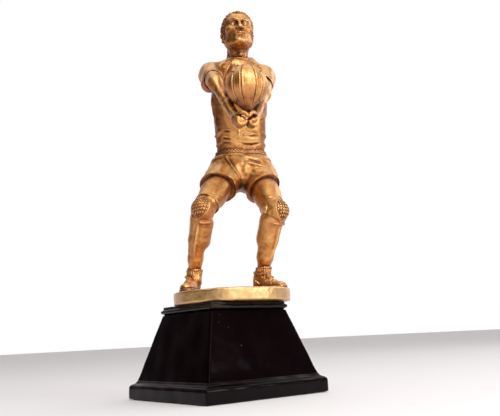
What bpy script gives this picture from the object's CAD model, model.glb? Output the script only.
# Looks of the figure trophy: the gold castings are sculpted as signed distance fields, in
# millimetres, and meshed; the plinth and the disc are built from moulding profiles.
import math

import bmesh
import bpy
import numpy as np
from mathutils import Matrix, Vector


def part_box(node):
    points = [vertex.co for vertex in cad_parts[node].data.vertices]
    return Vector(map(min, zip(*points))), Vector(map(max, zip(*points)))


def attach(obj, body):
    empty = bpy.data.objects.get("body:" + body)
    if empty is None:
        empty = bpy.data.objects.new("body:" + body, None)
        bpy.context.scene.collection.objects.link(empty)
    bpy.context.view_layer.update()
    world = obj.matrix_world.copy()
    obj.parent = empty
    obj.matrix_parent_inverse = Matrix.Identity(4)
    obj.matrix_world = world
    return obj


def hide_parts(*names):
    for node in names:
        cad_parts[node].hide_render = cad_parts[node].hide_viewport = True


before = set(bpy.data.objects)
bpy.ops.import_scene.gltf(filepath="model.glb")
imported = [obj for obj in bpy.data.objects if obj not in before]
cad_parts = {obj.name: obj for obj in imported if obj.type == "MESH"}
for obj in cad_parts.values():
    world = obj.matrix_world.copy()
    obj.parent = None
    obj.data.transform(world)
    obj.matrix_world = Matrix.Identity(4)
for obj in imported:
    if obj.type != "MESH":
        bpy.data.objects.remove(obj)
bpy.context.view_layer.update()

MM = 0.001

# ---- places, from the frame
def turn_about_up(angle):
    c, s = math.cos(angle), math.sin(angle)
    return np.array([[c, -s, 0], [s, c, 0], [0, 0, 1]])


DISC_LOW, DISC_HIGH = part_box("disc_base")
FIGURE_AXES = turn_about_up(math.radians(-23))  # the figure's heading on its disc
FIGURE_SPOT = np.array([(DISC_LOW.x + DISC_HIGH.x) / 2, (DISC_LOW.y + DISC_HIGH.y) / 2,
                        DISC_HIGH.z])


def spot(x, y, z):
    """A point of the figure's own frame: millimetres from the disc's centre, -Y ahead of it."""
    return np.array([x, y, z], float)


def to_row(points):
    """Points of the figure's frame, in metres in the part's frame."""
    return points @ FIGURE_AXES.T * MM + FIGURE_SPOT


def to_figure(point):
    """A point of the part's frame, in the figure's own frame."""
    return (np.array(point) - FIGURE_SPOT) @ FIGURE_AXES / MM


BALL_LOW, BALL_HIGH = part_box("ball")
BALL_RADIUS = 15.5
BALL = to_figure((BALL_LOW + BALL_HIGH) / 2)  # its stem hangs below, so it is placed by its top
BALL[2] = to_figure(BALL_HIGH)[2] - BALL_RADIUS
HEAD = spot(12.7, -7, 207.4)
NECK = spot(14.3, -1, 186)
HANDS = spot(2.5, -58, 114.6)
JOINTS = {
    "right": {
        "shoulder": spot(-9.5, -3, 171), "elbow": spot(-13.2, -33.6, 152.6),
        "wrist": spot(-4.2, -50, 122.8), "hip": spot(5, 18, 96), "knee": spot(-22, -12, 60),
        "ankle": spot(-26.2, 9, 18), "heel": spot(-24, 18, 0), "toe": spot(-38.5, -12, 0),
        "hem_facing": spot(-0.3, -0.6, -0.74), "out": -1,
    },
    "left": {
        "shoulder": spot(33.5, -3, 171), "elbow": spot(23.8, -34, 145),
        "wrist": spot(12.4, -50, 123.2), "hip": spot(29, 18, 96), "knee": spot(33.5, -14, 58),
        "ankle": spot(26.6, 1.5, 18), "heel": spot(20.5, 8.5, 0), "toe": spot(37, -20, 0),
        "hem_facing": spot(0.3, -0.6, -0.74), "out": 1,
    },
}
HEM_SHARE = 0.4  # how far down the thigh the shorts reach
SLEEVE = 16  # mm from the shoulder to the sleeve's end
BOTH = (-1, 1)  # the figure's right side and its left


# ---- small vector helpers
def unit(v):
    return v / np.linalg.norm(v)


def mix(a, b, share):
    return a + (b - a) * share


def square_to(along, hint):
    """A unit vector square to along, as near to hint as it gets."""
    return unit(hint - along * (hint @ along))


def rise(x, low, high):
    """A smooth step from 0 at low to 1 at high."""
    t = np.clip((x - low) / (high - low), 0, 1)
    return t * t * (3 - 2 * t)


def smooth_path(points, count):
    """A Catmull-Rom curve through points, as count points."""
    points = np.array(points, float)
    padded = np.vstack([2 * points[0] - points[1], points, 2 * points[-1] - points[-2]])
    out = []
    for t in np.linspace(0, len(points) - 1, count):
        i = min(int(t), len(points) - 2)
        f = t - i
        a, b, c, d = padded[i:i + 4]
        out.append(0.5 * (2 * b + (c - a) * f + (2 * a - 5 * b + 4 * c - d) * f * f
                          + (3 * b - a - 3 * c + d) * f ** 3))
    return np.array(out)


# ---- clay: distances in mm
# A stroke is (distance function, low corner, high corner, blend, sign). The corners let a
# stroke be skipped where it can't matter.
class Clay:
    REACH = 2.5

    def __init__(self):
        self.strokes = []
        self.reliefs = []
        self.origin = np.zeros(3)
        self.axes = np.eye(3)
        self.scale = 1.0

    def local(self, points):
        """Points of the figure's frame, in the clay's own frame."""
        return (points - self.origin) @ self.axes.T / self.scale

    def placed(self, points):
        return points @ self.axes * self.scale + self.origin

    def add(self, shape, blend=1.0):
        self.strokes.append((*shape, blend, 1))
        return self

    def cut(self, shape, blend=0.5):
        self.strokes.append((*shape, blend, -1))
        return self

    def keep(self, point, facing, blend=0.4):
        """Cuts away what lies ahead of the plane through point, on the side facing points to."""
        return self.cut(half_space(point, facing), blend)

    def relief(self, *heights):
        """A height(points) is how far the surface is raised there, in millimetres."""
        self.reliefs.extend(heights)
        return self

    def box(self):
        solids = [s for s in self.strokes if s[4] > 0]
        low = np.min([s[1] for s in solids], axis=0) - 2
        high = np.max([s[2] for s in solids], axis=0) + 2
        return low, high

    def field(self, p, everywhere=False):
        d = np.full(len(p), 1e3)
        for measure, low, high, blend, sign in self.strokes:
            reach = self.REACH + blend
            if everywhere:
                near = np.arange(len(p))
            else:
                near = np.flatnonzero(np.all((p > low - reach) & (p < high + reach), axis=1))
            if not len(near):
                continue
            s = measure(p[near])
            old = d[near]
            if sign > 0:
                h = np.maximum(blend - np.abs(old - s), 0) / blend
                d[near] = np.minimum(old, s) - h * h * blend / 4
            else:
                h = np.maximum(blend - np.abs(old + s), 0) / blend
                d[near] = np.maximum(old, -s) + h * h * blend / 4
        for height in self.reliefs:
            d -= height(p)
        return d


def bone(a, b, ra, rb, flat=None):
    """A round rod from a to b. flat = (direction, factor) squeezes it along a direction."""
    ab = b - a
    span = max(ab @ ab, 1e-9)

    def measure(p):
        t = np.clip((p - a) @ ab / span, 0, 1)
        w = p - a - t[:, None] * ab
        least = 1.0
        if flat is not None:
            way, factor = flat
            w = w + np.outer(w @ way, way) * (1 / factor - 1)
            least = min(1.0, factor)
        return (np.sqrt((w * w).sum(1)) - (ra + (rb - ra) * t)) * least

    r = max(ra, rb)
    return measure, np.minimum(a, b) - r, np.maximum(a, b) + r


def rope(points, radii):
    """A rod through many points, as one stroke. radii is one number, or one per point."""
    points = np.array(points, float)
    radii = np.broadcast_to(np.array(radii, float), len(points))
    rods = [bone(a, b, ra, rb)[0]
            for a, b, ra, rb in zip(points[:-1], points[1:], radii[:-1], radii[1:])]

    def measure(p):
        d = rods[0](p)
        for rod in rods[1:]:
            d = np.minimum(d, rod(p))
        return d

    r = radii.max()
    return measure, points.min(0) - r, points.max(0) + r


def cord(rows, count, radii, flip=(1, 1, 1), start=(0, 0, 0)):
    """A rope along a smooth curve through rows of points, times flip, plus start."""
    return rope(smooth_path(np.array(rows, float) * flip + start, count), radii)


def egg(centre, radii):
    """An ellipsoid along the axes."""
    radii = np.array(radii, float)

    def measure(p):
        q = p - centre
        k0 = np.sqrt(((q / radii) ** 2).sum(1))
        k1 = np.sqrt(((q / radii ** 2) ** 2).sum(1))
        return np.where(k1 > 1e-9, k0 * (k0 - 1) / np.maximum(k1, 1e-9), -radii.min())

    r = radii.max()
    return measure, centre - r, centre + r


def ring(centre, axis, radius, thick, squash=1.0, hint=None):
    """A hoop of round section. squash narrows it square to hint."""
    axis = unit(axis)
    side = square_to(axis, np.array([1.0, 0.1, 0]) if hint is None else hint)
    other = np.cross(axis, side)

    def measure(p):
        q = p - centre
        u, v, w = q @ side, q @ other, q @ axis
        k = np.sqrt(u * u + (v / squash) ** 2)
        return np.sqrt((k - radius) ** 2 + w * w) - thick

    r = radius * max(1, squash) + thick
    return measure, centre - r, centre + r


def half_space(point, facing):
    facing = unit(facing)
    far = np.full(3, 1e4)
    return (lambda p: -((p - point) @ facing)), -far, far


def rounded(a, b, edge):
    """How far out a point is that lies a and b past two walls, whose edge is rounded by edge."""
    outside = np.sqrt(np.maximum(a, 0) ** 2 + np.maximum(b, 0) ** 2)
    return outside + np.minimum(np.maximum(a, b), 0) - edge


LOFT_STEPS = 80


def loft(rows, power):
    """An upright body through rows (z, x, y, half width, half depth), sorted by z. Its sections
    are ellipses at power 2, and squarer above."""
    fine = smooth_path(rows, LOFT_STEPS)
    fine = fine[np.argsort(fine[:, 0])]
    z = fine[:, 0]

    def measure(p):
        x, y, rx, ry = (np.interp(p[:, 2], z, column) for column in fine.T[1:])
        k = (np.abs((p[:, 0] - x) / rx) ** power
             + np.abs((p[:, 1] - y) / ry) ** power) ** (1 / power)
        d = (k - 1) * np.minimum(rx, ry)
        return np.maximum(d, np.maximum(z[0] - p[:, 2], p[:, 2] - z[-1]))

    low = np.array([(fine[:, 1] - fine[:, 3]).min(), (fine[:, 2] - fine[:, 4]).min(), z[0]])
    high = np.array([(fine[:, 1] + fine[:, 3]).max(), (fine[:, 2] + fine[:, 4]).max(), z[-1]])
    return measure, low, high


def new_object(name, data):
    made = bpy.data.objects.new(name, data)
    bpy.context.scene.collection.objects.link(made)
    return made


# ---- clay to mesh
BLOCK = 4  # voxels along a coarse block


def sample(clay, size):
    """The clay's distances on a grid, worked out only near the surface."""
    low, high = clay.box()
    blocks = np.ceil((high - low) / size / BLOCK).astype(int)
    middles = [low[i] + (np.arange(blocks[i]) + 0.5) * size * BLOCK for i in range(3)]
    spots = np.stack(np.meshgrid(*middles, indexing="ij"), -1).reshape(-1, 3)
    coarse = clay.field(spots, everywhere=True).reshape(blocks)
    near = np.abs(coarse) < size * BLOCK * 0.87 + 1.3
    wanted = near
    signs = np.where(coarse < 0, -1e3, 1e3)
    for axis in range(3):
        wanted = np.repeat(wanted, BLOCK, axis)
        signs = np.repeat(signs, BLOCK, axis)
    grid = np.pad(signs, ((0, 1),) * 3, mode="edge").astype(np.float32)
    shape = grid.shape
    mask = np.zeros(shape, bool)
    for i in (0, 1):
        for j in (0, 1):
            for k in (0, 1):
                mask[i:shape[0] - 1 + i, j:shape[1] - 1 + j, k:shape[2] - 1 + k] |= wanted
    cells = np.argwhere(mask)
    grid[mask] = clay.field(cells * size + low)
    return grid, low


def net(grid, low, size):
    """Surface nets: one vertex in each cell that the surface crosses, one quad per crossed edge."""
    inside = grid < 0
    count = np.zeros(np.array(grid.shape) - 1, np.int8)
    corners = [(i, j, k) for i in (0, 1) for j in (0, 1) for k in (0, 1)]
    n = np.array(grid.shape) - 1
    for i, j, k in corners:
        count += inside[i:n[0] + i, j:n[1] + j, k:n[2] + k]
    crossed = (count > 0) & (count < 8)
    cells = np.argwhere(crossed)
    number = np.full(crossed.shape, -1, np.int64)
    number[crossed] = np.arange(len(cells))
    total = np.zeros((len(cells), 3))
    hits = np.zeros(len(cells))
    for axis in range(3):
        step = np.eye(3, dtype=int)[axis]
        for corner in corners:
            if corner[axis]:
                continue
            a = cells + corner
            va = grid[tuple(a.T)]
            vb = grid[tuple((a + step).T)]
            cross = (va < 0) != (vb < 0)
            t = np.where(cross, va / np.where(cross, va - vb, 1), 0)
            total[cross] += (np.array(corner) + t[:, None] * step)[cross]
            hits += cross
    points = (cells + total / hits[:, None]) * size + low
    quads = []
    for axis in range(3):
        step = np.eye(3, dtype=int)[axis]
        a = inside[tuple(slice(0, grid.shape[i] - step[i]) for i in range(3))]
        b = inside[tuple(slice(step[i], grid.shape[i]) for i in range(3))]
        edges = np.argwhere(a != b)
        u, v = (axis + 1) % 3, (axis + 2) % 3
        edges = edges[(edges[:, u] > 0) & (edges[:, v] > 0)
                      & (edges[:, u] < n[u]) & (edges[:, v] < n[v])]
        eu, ev = np.eye(3, dtype=int)[u], np.eye(3, dtype=int)[v]
        around = [edges - eu - ev, edges - ev, edges, edges - eu]
        quad = np.stack([number[tuple(c.T)] for c in around], 1)
        outward = inside[tuple(edges.T)]
        quads.append(np.where(outward[:, None], quad, quad[:, ::-1]))
    return points, np.vstack(quads)


def settle(clay, points, size):
    """Moves the vertices on to the true surface, and returns them with their normals."""
    nudge = 0.15 * size
    for _ in range(SETTLE_ROUNDS):
        d = clay.field(points)
        slope = np.stack([clay.field(points + nudge * np.eye(3)[i]) - d for i in range(3)], 1)
        slope /= nudge
        steep = (slope ** 2).sum(1)
        move = -(d / np.maximum(steep, 0.25))[:, None] * slope
        length = np.linalg.norm(move, axis=1)
        move *= np.minimum(1, 0.5 * size / np.maximum(length, 1e-9))[:, None]
        points = points + move
    return points, slope / np.sqrt(np.maximum(steep, 1e-9))[:, None]


SETTLE_ROUNDS = 2
HOLLOW_REACHES = (0.5, 1.2, 2.8)  # mm ahead of the surface, where its hollows are felt
FAR_REACH = 3.0  # mm: past this, strokes are no longer skipped
NOOK_REACH, NOOK_DEPTH = 8.0, 0.35  # and the wide nooks that the spray hardly reached
SPRAY_SHADOW = 0.3  # the gold is sprayed from above, so less of it reaches the undersides


def cast(name, clay, size, material, others=(), place=to_row):
    """Meshes the clay as a piece that stands for the CAD node of its name. Its point attribute
    'hollow' is 0 in the open and nears 1 deep in a crease, where dark paint stays."""
    size *= 1
    points, quads = net(*sample(clay, size), size)
    points, normals = settle(clay, points, size)
    hollow = np.zeros(len(points))
    for reach in (*HOLLOW_REACHES, NOOK_REACH):
        ahead = points + normals * reach
        free = clay.field(ahead, reach > FAR_REACH)
        for other in others:
            beside = other.field(other.local(clay.placed(ahead)), reach > FAR_REACH)
            free = np.minimum(free, beside * other.scale / clay.scale)
        share = NOOK_DEPTH if reach == NOOK_REACH else 1 / len(HOLLOW_REACHES)
        hollow += np.clip(1 - free / reach, -0.6, 1) * share
    upward = (normals @ clay.axes)[:, 2]
    hollow += SPRAY_SHADOW * np.clip(-upward, -0.3, 1)
    mesh = bpy.data.meshes.new(name)
    mesh.vertices.add(len(points))
    mesh.vertices.foreach_set("co", place(clay.placed(points)).astype(np.float32).ravel())
    mesh.loops.add(quads.size)
    mesh.loops.foreach_set("vertex_index", quads.astype(np.int32).ravel())
    mesh.polygons.add(len(quads))
    mesh.polygons.foreach_set("loop_start", np.arange(0, quads.size, 4, dtype=np.int32))
    mesh.polygons.foreach_set("loop_total", np.full(len(quads), 4, np.int32))
    mesh.update(calc_edges=True)
    mesh.polygons.foreach_set("use_smooth", np.ones(len(quads), bool))
    mesh.attributes.new("hollow", "FLOAT", "POINT").data.foreach_set(
        "value", hollow.astype(np.float32))
    piece = new_object(name, mesh)
    mesh.materials.append(material)
    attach(piece, "root")
    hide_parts(name)
    print(name, len(quads), "quads")
    return piece


# ---- surface relief
def waves(seed, length, height, count=8, stretch=(1, 1, 1)):
    """Soft uneven lumps about length across. stretch lengthens them along an axis."""
    rng = np.random.default_rng(seed)
    ways = rng.normal(size=(count, 3))
    ways /= np.linalg.norm(ways, axis=1)[:, None]
    ways *= (2 * math.pi / length * rng.uniform(0.6, 1.5, (count, 1))) / np.array(stretch)
    phases = rng.uniform(0, 2 * math.pi, count)
    return lambda p: height / math.sqrt(count) * np.sin(p @ ways.T + phases).sum(1)


def fold(points, height, width, facing, depth=11, hollow=0.5):
    """A soft fold in cloth along points, seen from facing, with a shallow valley beside it."""
    facing = unit(np.array(facing, float))
    path = smooth_path(points, 3 * len(points))
    low, high = path.min(0) - depth, path.max(0) + depth
    flat = path - np.outer(path @ facing, facing)
    length = np.linalg.norm(np.diff(flat, axis=0), axis=1)
    start = np.concatenate([[0], np.cumsum(length)])[:-1]
    total = max(length.sum(), 1e-6)

    def lift(p):
        out = np.zeros(len(p))
        near = np.flatnonzero(np.all((p > low) & (p < high), axis=1))
        if not len(near):
            return out
        q = p[near]
        away = q @ facing
        q = q - np.outer(away, facing)
        best = np.full(len(near), 1e9)
        side = np.zeros(len(near))
        along = np.zeros(len(near))
        level = np.zeros(len(near))
        for i in range(len(length)):
            a, b = flat[i], flat[i + 1]
            ab = b - a
            t = np.clip((q - a) @ ab / max(ab @ ab, 1e-9), 0, 1)
            w = q - a - t[:, None] * ab
            d = (w * w).sum(1)
            won = d < best
            best[won] = d[won]
            side[won] = np.sign((w @ np.cross(facing, ab))[won])
            along[won] = (start[i] + t * length[i])[won] / total
            level[won] = mix(path[i] @ facing, path[i + 1] @ facing, t)[won]
        d = np.sqrt(best)
        fade = rise(along, 0, 0.3) * rise(1 - along, 0, 0.3)
        fade = fade * rise(depth - np.abs(away - level), 0, depth * 0.4)
        valley = np.exp(-((d * side - 1.7 * width) / width) ** 2)
        out[near] = height * fade * (np.exp(-(d / width) ** 2) - hollow * valley)
        return out

    return lift


def folds(rows, facing):
    """Several folds: rows of (height, width, point, point, ...)."""
    lifts = [fold(row[2:], row[0], row[1], facing) for row in rows]
    return lambda p: sum(lift(p) for lift in lifts)


def casting_flaws(seed):
    return waves(seed, 5.0, 0.06, 10)


# ---- the figure's clothes
def sleeve_line(side):
    joint = JOINTS[side]
    along = unit(joint["elbow"] - joint["shoulder"])
    return joint["shoulder"], along, joint["shoulder"] + along * SLEEVE


def jersey():
    clay = Clay()
    clay.add(loft([(108, 16.2, 15.4, 19.2, 13.0), (114, 16.1, 14.8, 19.4, 13.2),
                   (120, 15.9, 13.2, 20.0, 13.5), (130, 15.3, 10, 20.7, 13.9),
                   (140, 14.9, 7.8, 21.2, 14.7), (150, 14.7, 6, 21.8, 15.0),
                   (160, 14.6, 3.6, 22.2, 14.4), (168, 14.5, 0.6, 21.6, 12.8),
                   (174, 14.6, -0.6, 19, 11.2), (180, 14.8, -0.6, 13.2, 9.6),
                   (186, 14.3, -1.2, 9.0, 8.4)], power=2.25))
    for side, joint in JOINTS.items():
        shoulder, along, end = sleeve_line(side)
        out = joint["out"]
        root = spot(14.8 + out * 9.2, -0.5, 182.6 + out * 1.0)
        clay.add(bone(root, shoulder + spot(-out * 3, 1, 2.6), 5.2, 7.8), 5)
        clay.add(egg(shoulder + spot(-out * 0.4, 0.5, 0.4), (9.6, 10.0, 10.4)), 4)
        clay.add(bone(shoulder, end, 9.6, 7.9), 3)
        chest = spot(14.6 + out * 9.5, -8.2, 163)
        clay.add(egg(chest, (10, 5.2, 7.6)), 5)
        clay.add(egg(spot(14.4 + out * 10.5, 11.5, 165), (9.5, 5.2, 12)), 5)
        clay.add(egg(spot(14.8 + out * 14.5, 8, 154), (6.5, 9, 12)), 5)
        if side == "right":
            clay.add(egg(end + spot(-2.8, 3.5, -3.8), (5.8, 6.0, 5.8)), 4)
    for side in JOINTS:
        shoulder, along, end = sleeve_line(side)
        clay.cut(bone(end - along * 1.6, end + along * 9, 6.5, 7.8), 0.4)
        clay.add(ring(end - along * 0.4, along, 7.4, 0.95), 0.5)
    collar = NECK + spot(0, -0.4, 0.2)
    clay.cut(bone(collar, collar + spot(0, 0, 9), 7.6, 8.2), 0.6)
    clay.add(ring(collar + spot(0, -0.3, 0.2), spot(0, -0.22, 1), 8.3, 0.95), 0.7)
    clay.keep(spot(0, 0, 109.4), spot(0, 0, -1))
    front, back = (0, -1, 0), (0, 1, 0)
    clay.relief(folds([
        # gathers from the collar to the right armpit and across the chest
        (1.0, 0.9, (8, -9, 183), (3.5, -12, 177), (-0.5, -14, 170), (-2, -14, 162)),
        (1.1, 0.9, (9.5, -10, 181.5), (6.5, -14, 174), (3.2, -16, 166), (1.5, -16, 157)),
        (0.8, 0.8, (11, -10, 180), (9.8, -14, 172), (7.8, -16, 164)),
        (0.9, 0.9, (4, -8, 184), (-1.5, -11, 179), (-5.5, -11, 173)),
        (0.7, 0.8, (6, -10, 180), (1.5, -14, 172), (0.5, -14, 166)),
        (0.8, 1.3, (22, -9, 181), (26, -13, 173), (28, -14, 164)),
        (0.7, 1.2, (19, -9, 180), (20, -14, 172), (19, -16, 163)),
        # creases under the arms
        (1.0, 1.3, (-4, -9, 158), (-2.5, -10, 149), (1, -10, 140)),
        (0.8, 1.1, (-0.5, -12, 154), (2, -11, 146), (5, -9, 138)),
        (1.0, 1.3, (32, -8, 158), (30, -9, 149), (27, -9, 141)),
        (0.6, 1.2, (28, -12, 153), (25, -10, 145), (20, -8, 138)),
        (0.6, 1.0, (24, -10, 147), (29, -8, 144), (33, -4, 143)),
        # short sharp creases where the shirt sags over the belt
        (-0.65, 0.6, (-1.8, 2.4, 127.4), (1.6, 0.4, 126.4), (5.2, -0.9, 125.8)),
        (-0.75, 0.6, (-1.2, 3.9, 122.1), (2.2, 2.0, 121.0), (5.6, 1.0, 120.6)),
        (-0.6, 0.6, (-1.8, 5.8, 119.4), (2.4, 3.6, 118.0), (6.6, 1.9, 117.2)),
        (-0.9, 0.65, (9.8, 0.7, 118.2), (14.7, 0.7, 116.8), (22.2, 1.2, 116.6),
         (31.5, 3.9, 118.7)),
        (-0.7, 0.6, (13.8, -1.4, 123.2), (20.3, -1.2, 122.8), (26.2, -0.5, 124.2)),
        (-0.5, 0.6, (25.5, -2, 133.4), (29.5, -1.6, 135.6), (33, 1, 138)),
        (1.2, 1.4, (12.4, -1.4, 127.6), (11.2, -1.0, 123.6), (11.6, 0, 119.6)),
        (0.7, 1.6, (16, -1.4, 120.0), (23, -0.6, 119.8), (30, 1.6, 121.6)),
        (1.5, 2.1, (10, -1.4, 121.6), (15, -1.4, 122.4), (22, -0.6, 121.4), (31, 1.6, 122.6)),
    ], front))
    clay.relief(folds([
        (1.0, 1.5, (-2, 14, 170), (6, 20, 163), (12, 22, 153)),
        (1.0, 1.5, (31, 14, 170), (24, 20, 163), (18, 22, 153)),
        (0.9, 1.4, (-5, 16, 158), (2, 21, 148), (8, 22, 137)),
        (0.9, 1.4, (34, 16, 158), (27, 21, 148), (22, 23, 137)),
        (1.0, 1.2, (0, 20, 131), (8, 26, 126), (18, 27, 127.5), (27, 25, 124)),
        (0.9, 1.1, (4, 22, 122), (14, 28, 119.5), (25, 27, 121), (32, 22, 124)),
        (0.8, 1.0, (1, 20, 117), (9, 27, 115), (20, 28, 116)),
        (0.8, 1.3, (10, 22, 142), (16, 23.5, 139), (25, 23, 141)),
    ], back))
    for out in BOTH:
        clay.relief(folds([
            (0.6, 1.4, (15 + out * 20, 4, 157), (15 + out * 20, 7, 147), (15 + out * 18, 8, 138)),
            (0.6, 1.1, (15 + out * 19, 1, 128), (15 + out * 19, 9, 125), (15 + out * 18, 17, 127)),
            (0.5, 1.0, (15 + out * 18, 4, 120), (15 + out * 18, 13, 118),
             (15 + out * 17, 21, 120)),
        ], (out, 0, 0)))
    spine = fold([(14.5, 16, 178), (14.6, 20, 162), (15, 23, 145), (15.8, 27, 125)],
                 -1.3, 2.2, back, hollow=0)
    clay.relief(spine)
    clay.relief(waves(3, 12, 0.2, 8, (1, 1, 0.6)), casting_flaws(4))
    return clay


def hem_point(side):
    joint = JOINTS[side]
    return mix(joint["hip"], joint["knee"], HEM_SHARE)


BELT = (16.2, 15.2, 110.6)  # the middle of the braided belt
BELT_STRANDS = 21


def shorts():
    clay = Clay()
    clay.add(loft([(83, 16.8, 15.5, 8, 8), (86, 16.8, 15, 13, 11), (89, 17, 16.4, 19.6, 14.6),
                   (93, 16.9, 17.4, 23.8, 16), (97, 16.8, 17.6, 25.3, 16.6),
                   (104, 16.5, 16.5, 25.0, 15.6), (108, 16.2, 15.4, 22.4, 14.4),
                   (110, 16.3, 15.2, 20.2, 13.8), (112.4, 16.2, 15.0, 19.8, 13.5)], power=2.3))
    for side, joint in JOINTS.items():
        along = unit(joint["knee"] - joint["hip"])
        hem = hem_point(side)
        middle = mix(joint["hip"], hem, 0.5)
        clay.add(bone(joint["hip"] + spot(0, 1, -1), middle, 13.6, 13.8), 5)
        clay.add(bone(middle, hem + along * 8, 13.8, 14.8), 4)
        clay.add(egg(joint["hip"] + spot(joint["out"] * -1, 9.5, -3), (12, 10, 12)), 6)
    for side, joint in JOINTS.items():
        along = unit(joint["knee"] - joint["hip"])
        hem, facing = hem_point(side), joint["hem_facing"]
        beyond = half_space(hem, facing)[0]
        clip = egg(hem + along * 14, (21, 21, 21))[0]
        clay.cut((lambda p, a=beyond, b=clip: np.maximum(a(p), b(p)), hem - 30, hem + 34), 0.6)
        # the leg of the shorts hangs away from the thigh behind and outside only
        slack = spot(joint["out"] * 2.2, 1.6, -0.5)
        clay.cut(bone(hem - along * 7 + slack * 0.2, hem + along * 9 + slack, 9.4, 11.0), 0.6)
    clay.keep(spot(0, 0, 112.0), spot(0, 0, 1), 0.5)

    def hem_roll(p):
        out = np.zeros(len(p))
        for side, joint in JOINTS.items():
            hem, facing = hem_point(side), unit(joint["hem_facing"])
            depth = -((p - hem) @ facing)
            near = np.linalg.norm(p - hem, axis=1) < 24
            own = (p[:, 0] - 17) * joint["out"] > 0
            out += near * own * 0.3 * np.exp(-((depth - 0.5) / 0.5) ** 2)
            out -= near * own * 0.12 * np.exp(-((depth - 1.6) / 0.5) ** 2)
        return out

    def belt(p):
        angle = BELT_STRANDS * np.arctan2(p[:, 1] - BELT[1], p[:, 0] - BELT[0])
        lean = (p[:, 2] - BELT[2]) * 1.5
        inside = rise(p[:, 2], 109.0, 109.5)
        strands = np.abs(np.sin(angle + lean)), np.abs(np.sin(angle - lean))
        braid = np.maximum(*strands) * 0.9 - 0.2
        band = rise(p[:, 2], 105.2, 105.8) * rise(109.2 - p[:, 2], 0, 0.4)
        return inside * braid + 0.35 * band - 0.25 * np.exp(-((p[:, 2] - 109.1) / 0.35) ** 2)

    clay.relief(hem_roll, belt)
    clay.relief(folds([
        # the two folds that run from the hips to the crotch, and the hollow between them
        (1.7, 1.0, (0, 4, 108), (1.4, 3.8, 104.5), (3.6, 3, 99.5), (6.0, 2.6, 95.4),
         (9.4, 3, 90.6), (12.6, 3.8, 86)),
        (1.6, 1.3, (14, 1, 102.8), (17, 1, 101.6), (22.2, 1.2, 100.2), (28, 2.4, 98.6),
         (33, 4, 97.2)),
        (2.2, 2.4, (11, 1, 106.2), (16, 0.8, 105.4), (22, 1, 104.2), (29, 2.4, 102.4)),
        (-0.9, 2.6, (11.0, 1.5, 101), (12.4, 2, 95), (13.2, 3, 88)),
        (0.4, 1.3, (18.5, 0, 91), (23, -3, 90.5), (29, -4, 89.5)),
        (0.4, 1.3, (7, -1, 87), (3, -4, 87.5), (-2, -6, 89)),
        (0.5, 1.4, (-1, 2, 102), (-4, -1, 97), (-7, -4, 91)),
        (0.5, 1.4, (35, 3, 99), (38, 1, 93), (39, -1, 87)),
    ], (0, -1, 0)))
    clay.relief(folds([
        (1.3, 1.6, (4, 28, 104), (10, 33, 97), (15, 33, 90)),
        (1.3, 1.6, (29, 28, 104), (23, 33, 97), (18, 33, 90)),
        (1.1, 1.4, (-2, 26, 96), (3, 31, 90), (8, 32, 84)),
        (1.1, 1.4, (35, 26, 96), (31, 31, 90), (26, 32, 84)),
        (-1.6, 1.5, (16.6, 31, 103), (16.8, 33, 95), (16.9, 31, 86)),
    ], (0, 1, 0)))
    for out in BOTH:
        clay.relief(folds([
            (0.7, 1.4, (16.5 + out * 21.5, 8, 103), (16.5 + out * 25, 8, 96),
             (16.5 + out * 27, 6, 89)),
            (0.7, 1.3, (16.5 + out * 21.5, 17, 102), (16.5 + out * 24, 20, 95),
             (16.5 + out * 25, 18, 87)),
        ], (out, 0, 0)))
    clay.relief(waves(13, 10, 0.16), casting_flaws(14))
    return clay


# ---- legs and arms
def leg_axes(side):
    """The directions down the thigh, down the shin, and ahead along the shoe."""
    joint = JOINTS[side]
    return (unit(joint["knee"] - joint["hip"]), unit(joint["ankle"] - joint["knee"]),
            unit((joint["toe"] - joint["heel"]) * [1, 1, 0]))


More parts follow.
